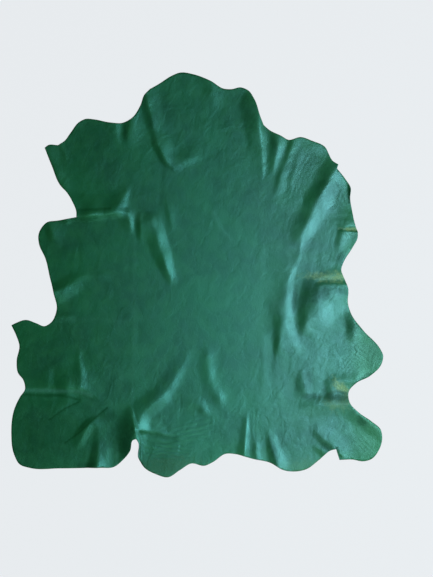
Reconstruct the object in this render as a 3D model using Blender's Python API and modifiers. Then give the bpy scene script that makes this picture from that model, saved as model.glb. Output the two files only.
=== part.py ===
"""A whole leather hide, tanned and dyed, spread out on a flat surface with its grain side up.

The hide is one thin sheet. Its rim follows the animal: neck at +Y, shoulders and forelegs below it,
the belly bays on both sides, and the hind legs and rump at -Y. Pleats and tucks stand up from the
surface where the rim was drawn in, and most of the middle lies flat.

Frame: +Z up, +Y towards the neck. The origin is on the surface, in the middle of the footprint.
Tables are in millimetres, and the model is in metres.
"""

import math
from typing import NamedTuple

import bmesh
import bpy
import numpy as np
from mathutils import Vector
from mathutils.geometry import delaunay_2d_cdt

METRES_PER_MM = 0.001

THICKNESS = 1.2  # of the leather, flesh side to grain side
LATTICE_STEP = 10.5  # between points where the sheet bends; twice that where it is flat
RIM_STEP = 11.5  # between points along the rim
CREST_STEP = 11.0  # between points along a fold's crest
CLEARANCE = 5.5  # from the rim, and from a crest, to the nearest lattice point
BEND_LIMIT = 0.1  # mean rise of the six points around one, above which the lattice stays fine
SETTLE = 0.7  # half the height over which a low fold runs out flat on the surface
PINCH = 0.08  # how round the sharpest crests are, as a share of their width
MERGE_MM = 0.001  # points this close are one
INSIDE_ONLY = 1  # the triangulation's mode that fills the rim and nothing else

GREEN = (0.024, 0.147, 0.102, 1.0)
ROUGHNESS = 0.45


class Stretch(NamedTuple):
    """The rim from one sharp corner to the next, clockwise: its (x, y) anchors after the first corner."""

    name: str
    anchors: tuple


RIM = (
    Stretch("left foreleg tip", ((-335, 292), (-313, 292))),
    Stretch("left shoulder", (
        (-298, 302), (-286, 318), (-264, 345), (-251, 351), (-232, 350), (-196, 343), (-169, 342),
        (-149, 351), (-127, 383), (-119, 404), (-106, 418))),
    Stretch("neck", (
        (-84, 431), (-61, 446), (-39, 455), (-7, 451), (29, 437), (60, 419), (78, 418), (97, 422),
        (115, 415), (129, 394), (143, 352), (149, 337))),
    Stretch("right shoulder", (
        (164, 325), (188, 313), (205, 304), (233, 310), (258, 302), (289, 286), (296, 272),
        (304, 257), (317, 248))),
    Stretch("right foreleg nick", ((314, 239),)),
    Stretch("right foreleg", ((332, 217), (345, 196), (344, 173), (348, 146), (356, 110), (361, 97))),
    Stretch("right belly and flank", (
        (361, 85), (349, 61), (329, 28), (324, 13), (332, -11), (339, -29), (339, -65), (347, -89),
        (373, -124), (412, -167), (418, -180), (415, -199), (389, -227), (356, -244), (341, -262),
        (342, -285), (362, -308), (393, -330), (412, -347), (416, -365), (409, -393), (392, -414),
        (375, -419), (348, -415), (320, -416))),
    Stretch("right hind nick", ((312, -391),)),
    Stretch("rump", (
        (301, -394), (274, -416), (245, -437), (215, -442), (195, -439), (166, -423), (123, -413),
        (87, -403), (65, -402), (35, -421), (17, -429), (-13, -424), (-39, -439), (-66, -455),
        (-93, -448), (-119, -433), (-132, -410), (-133, -374), (-137, -368))),
    Stretch("left hind leg", (
        (-143, -370), (-150, -394), (-167, -416), (-188, -432), (-219, -433), (-309, -435),
        (-376, -434), (-399, -426), (-412, -403), (-418, -358), (-413, -308), (-399, -275),
        (-387, -256), (-391, -236), (-403, -220), (-406, -194), (-400, -158), (-407, -136),
        (-418, -113))),
    Stretch("left belly", (
        (-408, -108), (-385, -101), (-363, -108), (-343, -115), (-329, -107), (-316, -77),
        (-322, -42), (-331, -7), (-341, 36), (-356, 71), (-357, 90), (-336, 119), (-316, 122),
        (-271, 130))),
    Stretch("left foreleg", (
        (-271, 140), (-280, 164), (-292, 184), (-308, 202), (-327, 246), (-343, 286))),
)


class Fold(NamedTuple):
    """A raised fold, walked along its crest from the rim inwards.

    path: (x, y) places on the crest. rise: height of the crest at each place.
    left, right: from the crest to the fold's foot on that hand, at the start and at the end.
    crest: 0 is pinched to an edge, 1 is a soft round swell.
    """

    name: str
    path: tuple
    rise: tuple
    left: tuple
    right: tuple
    crest: float


FOLDS = (
    Fold("neck pleat", (
        (-122, 436), (-112, 395), (-103, 352), (-95, 318), (-87, 292), (-76, 266), (-59, 246), (-42, 228)),
         (4.8, 5, 4.6, 3, 5.8, 5, 2.6, 0), (44, 40), (20, 16), 0.4),
    Fold("neck pleat, fork", ((-58, 234), (-34, 252), (-4, 266), (32, 278)),
         (0, 1.9, 1.6, 0), (50, 40), (26, 20), 0.7),
    Fold("neck swell", ((28, 458), (34, 412), (44, 360)), (3.2, 2.8, 0), (46, 34), (40, 34), 0.8),
    Fold("neck side pleat", ((139, 376), (140, 330), (145, 262), (148, 188)),
         (9, 6.4, 2.8, 0), (26, 9), (54, 32), 0.6),
    Fold("left shoulder gather 1", ((-184, 362), (-182, 322), (-176, 282)),
         (2.9, 2.7, 0), (22, 18), (44, 36), 0.6),
    Fold("left shoulder gather 2", ((-147, 364), (-152, 326), (-160, 284)),
         (4.4, 4, 0), (64, 50), (25, 18), 0.5),
    Fold("left foreleg crease", ((-309, 299), (-300, 277), (-291, 240)),
         (2.3, 2.2, 0), (30, 26), (13, 11), 0.3),
    Fold("left foreleg edge", ((-343, 286), (-322, 243), (-300, 196), (-284, 164)),
         (1.6, 2, 2, 1.6), (38, 30), (14, 11), 0.6),
    Fold("left tuck, step", ((-291, 133), (-245, 135), (-200, 138), (-172, 141), (-148, 136)),
         (10.4, 10.2, 7.4, 3.4, 0), (64, 50), (24, 19), 0.2),
    Fold("left tuck, wing", ((-194, 122), (-181, 150), (-164, 182), (-148, 208)),
         (0, 3.2, 2.8, 0), (46, 26), (38, 12), 0.6),
    Fold("left tuck, knot", ((-158, 152), (-152, 122), (-146, 84)), (0, 3.8, 0), (22, 18), (36, 30), 0.4),
    Fold("left tuck, end", ((-128, 156), (-128, 110), (-126, 66)), (0, 3.6, 0), (40, 34), (17, 14), 0.4),
    Fold("left ridge", ((-106, 144), (-100, 118), (-91, 86), (-80, 50), (-70, 20), (-61, -6), (-54, -32)),
         (0, 5, 5.6, 5.4, 4.4, 2.6, 0), (32, 27), (44, 18), 0.5),
    Fold("left ridge, shoulder side", ((-76, 196), (-66, 150), (-58, 118), (-52, 86)),
         (0, 1.4, 1.4, 0), (40, 34), (16, 14), 0.6),
    Fold("left belly lobe", ((-338, 130), (-326, 98), (-322, 58)), (4, 3.8, 0), (60, 50), (22, 20), 0.6),
    Fold("left belly pleat", ((-338, -46), (-316, -38), (-294, -26), (-262, -4), (-220, -2), (-165, -8)),
         (7.6, 7.6, 5.8, 3, 2, 0), (28, 34), (38, 50), 0.3),
    Fold("left belly pleat, lower", ((-330, -97), (-302, -95), (-262, -93)),
         (2.6, 2.5, 0), (22, 18), (24, 22), 0.6),
    Fold("left flank gather", ((-264, -252), (-262, -222), (-266, -180), (-268, -150)),
         (1.3, 1.7, 1.5, 0), (20, 16), (18, 14), 0.6),
    Fold("left flank gather, foot", ((-294, -268), (-293, -250), (-291, -230)),
         (2.6, 2.4, 0), (34, 30), (34, 26), 0.7),
    Fold("left flank gather, small", ((-333, -244), (-334, -223), (-337, -198)),
         (1.4, 1.3, 0), (24, 20), (18, 16), 0.7),
    Fold("left flank tuck, upper", (
        (-399, -252), (-345, -252), (-300, -250), (-270, -252), (-240, -264), (-204, -292)),
         (3.2, 3.6, 4.6, 5, 2.8, 0), (66, 60), (15, 22), 0.5),
    Fold("left flank tuck, lower", ((-399, -298), (-345, -300), (-290, -305), (-256, -318)),
         (2.6, 2.7, 2.4, 0), (28, 24), (50, 40), 0.8),
    Fold("left hind crease", ((-298, -378), (-262, -352), (-235, -327), (-203, -299)),
         (0, 1.6, 1.6, 0), (12, 10), (34, 30), 0.3),
    Fold("left hind fold", ((-230, -322), (-247, -344), (-261, -370), (-272, -398)),
         (0, 3.2, 3, 0), (20, 17), (24, 20), 0.5),
    Fold("left hind pleat", ((-230, -443), (-222, -405), (-219, -372), (-224, -336), (-228, -316)),
         (8, 6.6, 3, 2, 0), (26, 20), (50, 42), 0.5),
    Fold("slot, left lip", ((-134, -414), (-134, -374), (-142, -334), (-153, -292)),
         (8.8, 8.4, 5, 0), (66, 64), (9, 10), 0.5),
    Fold("slot ridge", (
        (-136, -404), (-138, -366), (-133, -334), (-119, -308), (-94, -286), (-66, -254), (-40, -212),
        (-8, -148)),
         (1.8, 4.4, 6.4, 5, 5, 3.4, 2, 0), (48, 40), (40, 26), 0.6),
    Fold("rump wrinkle", ((-129, -349), (-88, -354), (-43, -365)), (2, 2.2, 0), (20, 18), (12, 11), 0.3),
    Fold("rump ridge", ((20, -140), (22, -190), (27, -232), (39, -262), (52, -284), (58, -306)),
         (0, 1.8, 2, 2, 1.8, 0), (34, 28), (34, 26), 0.8),
    Fold("rump bump", ((-46, -290), (-20, -288), (5, -292), (16, -306), (20, -326)),
         (0, 1.8, 2.1, 2, 0), (30, 26), (24, 22), 0.8),
    Fold("rump pleat 1", ((107, -430), (107, -385), (110, -345), (114, -300)),
         (4.6, 4, 2.6, 0), (30, 20), (16, 8), 0.35),
    Fold("rump pleat 2", ((134, -434), (133, -398), (130, -350)), (2.4, 2.2, 0), (20, 16), (24, 20), 0.4),
    Fold("rump pleat 3", ((182, -448), (172, -402), (163, -370), (154, -336)),
         (4.4, 4, 2.6, 0), (24, 13), (42, 28), 0.5),
    Fold("right shoulder pleat 1", ((190, 336), (184, 305), (175, 258), (162, 204)),
         (4.6, 4.4, 2.4, 0), (30, 18), (40, 14), 0.7),
    Fold("right shoulder pleat 2", ((222, 324), (215, 296), (198, 248), (182, 200), (166, 152)),
         (3.2, 3, 2.6, 2, 0), (56, 36), (20, 15), 0.4),
    Fold("right shoulder pleat 3", ((250, 300), (230, 262), (217, 226), (210, 186), (206, 150)),
         (0, 1, 1, 0.9, 0), (26, 22), (16, 12), 0.7),
    Fold("long fold", ((330, 264), (309, 233), (289, 200), (262, 151), (248, 122), (236, 90), (229, 58)),
         (6.6, 7, 6.8, 5.6, 4.2, 2.4, 0), (54, 48), (48, 30), 0.4),
    Fold("long fold, lower", ((252, 132), (240, 98), (229, 52), (221, 24), (208, 0), (199, -34)),
         (0, 1.7, 1.7, 1.8, 1.9, 0), (22, 17), (100, 100), 0.3),
    Fold("right rim curl", ((352, 224), (350, 186), (351, 150)), (6.6, 6.6, 0), (12, 11), (15, 13), 0.4),
    Fold("right rim fold", ((352, 136), (334, 137), (314, 139)), (1.6, 1.6, 0), (28, 24), (20, 17), 0.8),
    Fold("right rim tuck, upper", ((368, 112), (340, 112), (300, 113)),
         (3, 2.8, 0), (11, 10), (46, 14), 1.0),
    Fold("right rim tuck, lower", ((370, 94), (340, 96), (312, 98)), (2.4, 2.4, 0), (24, 20), (8, 7), 0.2),
    Fold("right belly pleat", ((328, 104), (322, 76), (317, 44)), (2.4, 2.4, 0), (30, 26), (20, 17), 0.6),
    Fold("pocket, ridge", (
        (207, 4), (202, -28), (198, -62), (197, -100), (205, -135), (219, -165), (242, -198)),
         (0, 2.4, 3.2, 3.6, 3.2, 2.2, 0), (27, 37), (66, 50), 0.8),
    Fold("pocket, west side", ((187, -66), (187, -118), (184, -156), (178, -206)),
         (0, 2.2, 2.2, 0), (34, 30), (20, 17), 0.6),
    Fold("pocket, slope", ((340, -22), (300, -36), (276, -54), (262, -80), (249, -120)),
         (1.8, 2.6, 2.6, 2.2, 0), (90, 80), (58, 26), 0.9),
    Fold("pocket, wall", ((292, -14), (275, -36), (261, -62), (250, -88), (242, -118), (236, -148)),
         (0, 4.4, 5.4, 4.8, 3.6, 0), (84, 70), (74, 11), 0.7),
    Fold("pocket, lower lip", ((348, -24), (318, -23), (290, -23), (262, -28)),
         (1.9, 1.9, 1.7, 0), (50, 44), (13, 12), 0.4),
    Fold("pocket, upper lip", ((346, 2), (310, -1), (282, -5), (254, -14)),
         (1.9, 1.9, 1.6, 0), (12, 10), (42, 34), 0.4),
    Fold("right flank curl", ((352, -100), (352, -126), (345, -160)), (3, 3.4, 0), (36, 30), (30, 26), 0.6),
    Fold("right notch, ridge", ((356, -238), (332, -238), (306, -238), (280, -242)),
         (3, 3.2, 2.6, 0), (26, 24), (36, 30), 0.5),
    Fold("right notch, lower", ((356, -292), (332, -292), (300, -292), (262, -294), (222, -296)),
         (5, 4.8, 3.6, 3, 0), (48, 40), (28, 30), 0.6),
    Fold("right notch, fork", ((248, -284), (240, -246), (231, -208)),
         (0, 3.2, 0), (34, 28), (28, 24), 0.6),
    Fold("right notch, fold", ((306, -300), (304, -268), (298, -234)),
         (0, 2.8, 0), (26, 22), (64, 50), 0.6),
    Fold("right hind pleat 1", ((313, -394), (302, -382), (280, -364), (252, -336)),
         (5.6, 5.4, 3.4, 0), (25, 20), (44, 36), 0.45),
    Fold("right hind pleat 2", ((308, -412), (284, -396), (250, -382)),
         (4.4, 4.2, 0), (19, 16), (20, 18), 0.4),
    Fold("right hind edge", ((346, -300), (366, -318), (398, -340), (424, -366)),
         (0, 3.4, 3.2, 2), (18, 18), (34, 28), 0.7),
)


def smooth_rows(rows, step):
    """Rows about a step apart on a smooth open curve through the given rows, which start with x and y."""
    rows = np.array(rows, dtype=float)
    chords = np.hypot(*np.diff(rows[:, :2], axis=0).T)
    slopes = np.diff(rows, axis=0) / chords[:, None]
    before = np.vstack([slopes[:1], slopes])
    after = np.vstack([slopes, slopes[-1:]])
    reach_before = np.append(chords[:1], chords)[:, None]
    reach_after = np.append(chords, chords[-1:])[:, None]
    tangents = (before * reach_after + after * reach_before) / (reach_before + reach_after)
    pieces = []
    for start, end, leave, arrive, chord in zip(rows, rows[1:], tangents, tangents[1:], chords):
        count = max(1, round(chord / step))
        t = (np.arange(count) / count)[:, None]
        blend = t * t * (3 - 2 * t)
        bow = chord * t * (1 - t) * ((1 - t) * leave - t * arrive)
        pieces.append(start + (end - start) * blend + bow)
    return np.vstack([*pieces, rows[-1:]])


def rim_points():
    """The rim as one closed loop of points in mm, with the footprint's middle at the origin."""
    corner = RIM[-1].anchors[-1]
    stretches = []
    for stretch in RIM:
        stretches.append(smooth_rows((corner, *stretch.anchors), RIM_STEP)[:-1])
        corner = stretch.anchors[-1]
    rim = np.vstack(stretches)
    return rim - (rim.max(axis=0) + rim.min(axis=0)) / 2


def cross_section(offset, left, right, crest):
    """A fold's height across it, 1 on the crest and 0 at its foot; offsets are positive on the left hand."""
    reach = np.minimum(np.abs(offset) / np.where(offset > 0, left, right), 1.0)
    rounded = (np.hypot(reach, PINCH) - PINCH) / (math.hypot(1.0, PINCH) - PINCH)
    pinched = (1.0 - rounded) ** 2
    swell = 0.5 + 0.5 * np.cos(math.pi * reach)
    return pinched + (swell - pinched) * crest


def crest_rows(fold):
    """Rows along a fold's crest in mm: x, y, rise, and how far its foot is on the left and on the right."""
    share = np.linspace(0.0, 1.0, len(fold.path))
    left = fold.left[0] + (fold.left[1] - fold.left[0]) * share
    right = fold.right[0] + (fold.right[1] - fold.right[0]) * share
    return smooth_rows(np.column_stack([fold.path, fold.rise, left, right]), CREST_STEP)


def fold_height(fold, x, y):
    """Height in mm that one fold adds at each place."""
    rows = crest_rows(fold)
    nearest = np.full(x.shape, np.inf)
    height = np.zeros(x.shape)
    for start, end in zip(rows, rows[1:]):
        run_x, run_y = end[:2] - start[:2]
        along = ((x - start[0]) * run_x + (y - start[1]) * run_y) / (run_x**2 + run_y**2)
        along = np.clip(along, 0.0, 1.0)
        away_x = x - start[0] - along * run_x
        away_y = y - start[1] - along * run_y
        distance = np.hypot(away_x, away_y)
        side = np.where(run_x * away_y > run_y * away_x, 1.0, -1.0)
        rise, to_left, to_right = (start[i] + (end[i] - start[i]) * along for i in (2, 3, 4))
        here = np.maximum(rise, 0.0) * cross_section(side * distance, to_left, to_right, fold.crest)
        height = np.where(distance < nearest, here, height)
        nearest = np.minimum(distance, nearest)
    return height


def relief(x, y):
    """Height in mm of the sheet's lower face over the surface; the low feet of the folds lie flat on it."""
    raised = sum(fold_height(fold, x, y) for fold in FOLDS)
    low = raised**2 / (4 * SETTLE)
    return np.where(raised < 2 * SETTLE, low, raised - SETTLE)


def clear_of(places, others):
    """Which places keep their clearance to all the others."""
    gaps = places[:, None, :] - others[None, :, :]
    return np.hypot(gaps[..., 0], gaps[..., 1]).min(axis=1) > CLEARANCE


def crest_places(rim):
    """Places on the folds' crests in mm, one fold after another, clear of the rim and of each other."""
    kept = rim
    for fold in FOLDS:
        crest = crest_rows(fold)[:, :2]
        kept = np.vstack([kept, crest[clear_of(crest, kept)]])
    return kept[len(rim):]


def lattice_places(half_width, half_length):
    """A triangular lattice in mm, fine where the sheet bends and twice as wide elsewhere."""
    row_step = LATTICE_STEP * math.sqrt(3) / 2
    columns = math.ceil(half_width / LATTICE_STEP) + 1
    rows = math.ceil(half_length / row_step)
    column, row = np.meshgrid(np.arange(-columns, columns), np.arange(-rows, rows + 1))
    x = (column + (row % 2) / 2) * LATTICE_STEP
    y = row * row_step
    around = np.zeros(x.shape)
    for turn in np.arange(6) * math.pi / 3:
        around += relief(x + LATTICE_STEP * math.cos(turn), y + LATTICE_STEP * math.sin(turn)) / 6
    bends = np.abs(around - relief(x, y)) > BEND_LIMIT
    wide = (row % 2 == 0) & (column % 2 == (row // 2) % 2)
    kept = bends | wide
    return np.column_stack([x[kept], y[kept]])


def hide_mesh(name):
    """The sheet's lower face: the rim filled with triangles, and raised along its folds."""
    rim = rim_points()
    places = np.vstack([rim, crest_places(rim)])
    lattice = lattice_places(*rim.max(axis=0))
    places = np.vstack([places, lattice[clear_of(lattice, places)]])
    around = [(i, (i + 1) % len(rim)) for i in range(len(rim))]
    places = [Vector(place) for place in places]
    corners, _, triangles, *_ = delaunay_2d_cdt(places, around, [], INSIDE_ONLY, MERGE_MM)
    flat = np.array(corners)
    heights = relief(flat[:, 0], flat[:, 1])
    points = np.column_stack([flat, heights]) * METRES_PER_MM

    mesh = bpy.data.meshes.new(name)
    mesh.from_pydata(points.tolist(), [], triangles)
    shape = bmesh.new()
    shape.from_mesh(mesh)
    loose = [vertex for vertex in shape.verts if not vertex.link_faces]
    bmesh.ops.delete(shape, geom=loose, context="VERTS")
    bmesh.ops.recalc_face_normals(shape, faces=shape.faces)
    if sum(face.normal.z for face in shape.faces) < 0:
        bmesh.ops.reverse_faces(shape, faces=shape.faces)
    shape.to_mesh(mesh)
    shape.free()
    mesh.shade_smooth()
    return mesh


def leather_material():
    """Smooth dyed leather, a little glossy."""
    material = bpy.data.materials.new("green_leather")
    material.use_nodes = True
    shader = material.node_tree.nodes["Principled BSDF"]
    shader.inputs["Base Color"].default_value = GREEN
    shader.inputs["Roughness"].default_value = ROUGHNESS
    shader.inputs["Metallic"].default_value = 0.0
    return material


def build_hide(collection):
    """The one piece: the folded sheet, thickened upwards so that its flat places rest on the surface."""
    hide = bpy.data.objects.new("hide", hide_mesh("hide"))
    collection.objects.link(hide)
    leather = hide.modifiers.new("leather thickness", "SOLIDIFY")
    leather.thickness = THICKNESS * METRES_PER_MM
    leather.offset = 1.0
    hide.data.materials.append(leather_material())
    return hide


def main():
    for old in list(bpy.data.objects):
        bpy.data.objects.remove(old)
    collection = bpy.data.collections.new("leather_hide")
    bpy.context.scene.collection.children.link(collection)
    build_hide(collection)


main()
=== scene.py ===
"""Looks of the leather hide: a folded sheet with dyed grain, a suede flesh side and a cut edge.

The hide lies grain side up on a pale floor and is seen from straight above. Its sheet follows the
rim and folds of the CAD node "hide", with finer creases and wrinkles. Tables are in millimetres.
"""

import math
from typing import NamedTuple

import bpy
import numpy as np
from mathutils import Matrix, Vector
from mathutils.geometry import delaunay_2d_cdt
from mathutils.kdtree import KDTree


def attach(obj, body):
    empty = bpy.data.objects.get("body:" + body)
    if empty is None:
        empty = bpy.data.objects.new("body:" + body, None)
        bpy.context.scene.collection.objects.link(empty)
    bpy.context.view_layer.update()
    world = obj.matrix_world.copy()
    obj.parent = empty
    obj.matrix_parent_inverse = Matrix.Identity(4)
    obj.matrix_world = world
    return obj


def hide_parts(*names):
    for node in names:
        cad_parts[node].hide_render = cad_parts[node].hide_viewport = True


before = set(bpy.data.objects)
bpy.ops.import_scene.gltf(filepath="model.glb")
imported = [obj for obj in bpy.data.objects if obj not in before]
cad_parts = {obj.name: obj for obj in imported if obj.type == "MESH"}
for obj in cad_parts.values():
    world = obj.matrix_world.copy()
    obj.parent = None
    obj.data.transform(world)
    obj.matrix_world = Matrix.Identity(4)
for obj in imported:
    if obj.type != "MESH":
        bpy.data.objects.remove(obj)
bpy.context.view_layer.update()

METRES_PER_MM = 0.001

# The net of places that the sheet is made of
FINE_STEP = 2.6  # between places where the sheet bends; twice that elsewhere
RIM_STEP = 3.0
CREST_STEP = 3.0
CLEARANCE = 1.5  # from the rim, and from a crest, to the nearest lattice place
BEND_LIMIT = 0.016  # mean rise of the six places around one, above which the lattice stays fine
MERGE_MM = 0.001
INSIDE_ONLY = 1  # the triangulation's mode that fills the rim and nothing else

# The sheet
THICKNESS = 1.2  # flesh side to grain side
EDGE_INSET = 0.35  # how far the knife's upper edge is worn back
EDGE_SHARE = 0.7  # share of the thickness that the cut stands straight

# The folds
PINCH = 0.08  # how round the sharpest crests are, as a share of their width
FOLD_DRIFT = 1.6  # how far the folds stray from their rows, in bends of DRIFT_SIZE
DRIFT_SIZE = 34.0
UNEVENNESS = 0.25  # share by which a fold's height varies, in swells of UNEVEN_SIZE
UNEVEN_SIZE = 38.0
SETTLE = 0.7  # half the height over which a low fold runs out flat on the surface

# The sheet is calm in an oval in its middle and grows lively towards the rim
CALM_HALF_SIZE = (290.0, 330.0)
LIVELY_FROM = 0.45  # where that starts, as a share of the oval's half size
LIVELY_OVER = 0.7  # and over how much more of it the sheet becomes fully lively

# The wrinkles
WRINKLE_SWAY = 2.2  # how far they wander, in bends of SWAY_SIZE
SWAY_SIZE = 21.0

# The smooth unevenness, and its seeds
CLOUD_CELLS = 256  # swells in a row before they repeat
CLOUD_GAIN = 1.5  # brings the swells to about -1 and 1
SEED_DRIFT_X = 1
SEED_DRIFT_Y = 2
SEED_UNEVEN = 3
SEED_SWAY = 5
SEED_WAVES = 10

# The marks that the grain's material reads; some place painted shade and painted highlight
RIM_WEAR = 62.0  # how far the handled, paler band reaches in from the rim
RIM_FADE = 1.5  # how fast that band fades
CREST_RING = 6.0  # radius of the ring of places that a crest rises over
# The crest mark paints highlight on crests, and the valley mark paints shade in valleys
CREST_RISE = 0.9  # rise over that ring, or fall below it, at which the mark is full
# Grooves get painted shade and ridge lines painted highlight, both full at this depth
GROOVE_DEPTH = 0.45  # depth at which a groove is fully dark
# The wrinkles' tops are painted paler and their troughs darker, as painted shading
WRINKLE_RELIEF = 0.5  # height from the darkest to the palest of the fine wrinkles

# Colours of the grain side; deep and pale green also paint shade and highlight on folds and wrinkles
DEEP_GREEN = (0.0036, 0.0410, 0.0110, 1.0)
MID_GREEN = (0.0060, 0.0740, 0.0200, 1.0)
PALE_GREEN = (0.0160, 0.1000, 0.0280, 1.0)
# worn green of the handled rim, also the paler colour of the painted highlight patches
WORN_AND_HIGHLIGHT_GREEN = (0.0220, 0.1180, 0.0440, 1.0)
# painted highlight on ridge lines
RIDGE_HIGHLIGHT_GREEN = (0.0500, 0.1700, 0.1150, 1.0)
# painted shade
PAINTED_SHADE_GREEN = (0.0040, 0.0320, 0.0110, 1.0)
# painted shade in grooves
GROOVE_SHADE_GREEN = (0.0020, 0.0180, 0.0060, 1.0)
STAIN_YELLOW = (0.2200, 0.2850, 0.1000, 1.0)
SHEEN_TEAL = (0.33, 0.97, 0.95, 1.0)
SHEEN_BLUE = (0.44, 0.925, 1.0, 1.0)
SHEEN_GREEN = (0.44, 0.97, 0.82, 1.0)

# Colours of the flesh side and of the cut
SUEDE_DARK = (0.022, 0.085, 0.052, 1.0)
SUEDE_MID = (0.038, 0.120, 0.080, 1.0)
SUEDE_PALE = (0.052, 0.150, 0.100, 1.0)
CUT_DARK = (0.012, 0.055, 0.032, 1.0)
CUT_PALE = (0.040, 0.120, 0.075, 1.0)

# The floor
FLOOR_REACH = 20.0  # metres from its middle to each side
FLOOR_GREY = (0.025, 0.025, 0.025, 1.0)
FLOOR_GLOW = (0.79, 0.815, 0.84, 1.0)

# The camera and the room, in metres; the camera looks straight down
SENSOR_MM = 36
CAMERA_PLACE = (0.0433, -0.0306, 3.0)
PICTURE_LENGTH = 1.298  # of floor from the top to the bottom of the picture
ROOM_LIGHT = 0.02

# The mix node's colour sockets, whose names it also gives to its other sockets
MIX_UNDER = 6
MIX_OVER = 7
MIX_RESULT = 2


class Wave(NamedTuple):
    """Waves of the sheet between its folds: their size, and their height where calm and lively."""

    size: float
    calm: float
    lively: float


WAVES = (
    Wave(74.0, 0.035, 0.34),
    Wave(31.0, 0.020, 0.23),
    Wave(15.0, 0.005, 0.06),
)


class Stretch(NamedTuple):
    """The rim from one sharp corner to the next, clockwise: its anchors after the first corner."""

    name: str
    anchors: tuple


RIM = (
    Stretch("left foreleg tip", ((-335, 292), (-313, 292))),
    Stretch("left shoulder", (
        (-298, 302), (-286, 318), (-264, 345), (-251, 351), (-232, 350), (-196, 343), (-169, 342),
        (-149, 351), (-127, 383), (-119, 404), (-106, 418))),
    Stretch("neck", (
        (-84, 431), (-61, 446), (-39, 455), (-7, 451), (29, 437), (60, 419), (78, 418), (97, 422),
        (115, 415), (129, 394), (143, 352), (149, 337))),
    Stretch("right shoulder", (
        (164, 325), (188, 313), (205, 304), (233, 310), (258, 302), (289, 286), (296, 272),
        (304, 257), (317, 248))),
    Stretch("right foreleg nick", ((314, 239),)),
    Stretch("right foreleg", ((332, 217), (345, 196), (344, 173), (348, 146), (356, 110), (361, 97))),
    Stretch("right belly and flank", (
        (361, 85), (349, 61), (329, 28), (324, 13), (332, -11), (339, -29), (339, -65), (347, -89),
        (373, -124), (412, -167), (418, -180), (415, -199), (389, -227), (356, -244), (341, -262),
        (342, -285), (362, -308), (393, -330), (412, -347), (416, -365), (409, -393), (392, -414),
        (375, -419), (348, -415), (320, -416))),
    Stretch("right hind nick", ((312, -391),)),
    Stretch("rump", (
        (301, -394), (274, -416), (245, -437), (215, -442), (195, -439), (166, -423), (123, -413),
        (87, -403), (65, -402), (35, -421), (17, -429), (-13, -424), (-39, -439), (-66, -455),
        (-93, -448), (-119, -433), (-132, -410), (-133, -374), (-137, -368))),
    Stretch("left hind leg", (
        (-143, -370), (-150, -394), (-167, -416), (-188, -432), (-219, -433), (-309, -435),
        (-376, -434), (-399, -426), (-412, -403), (-418, -358), (-413, -308), (-399, -275),
        (-387, -256), (-391, -236), (-403, -220), (-406, -194), (-400, -158), (-407, -136),
        (-418, -113))),
    Stretch("left belly", (
        (-408, -108), (-385, -101), (-363, -108), (-343, -115), (-329, -107), (-316, -77),
        (-322, -42), (-331, -7), (-341, 36), (-356, 71), (-357, 90), (-336, 119), (-316, 122),
        (-271, 130))),
    Stretch("left foreleg", (
        (-271, 140), (-280, 164), (-292, 184), (-308, 202), (-327, 246), (-343, 286))),
)


class Fold(NamedTuple):
    """A raised fold, walked along its crest from the rim inwards.

    path: (x, y) places on the crest. rise: height of the crest at each place.
    left, right: from the crest to the fold's foot on that hand, at the start and at the end.
    crest: 0 is pinched to an edge, 1 is a soft round swell.
    """

    name: str
    path: tuple
    rise: tuple
    left: tuple
    right: tuple
    crest: float


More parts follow.
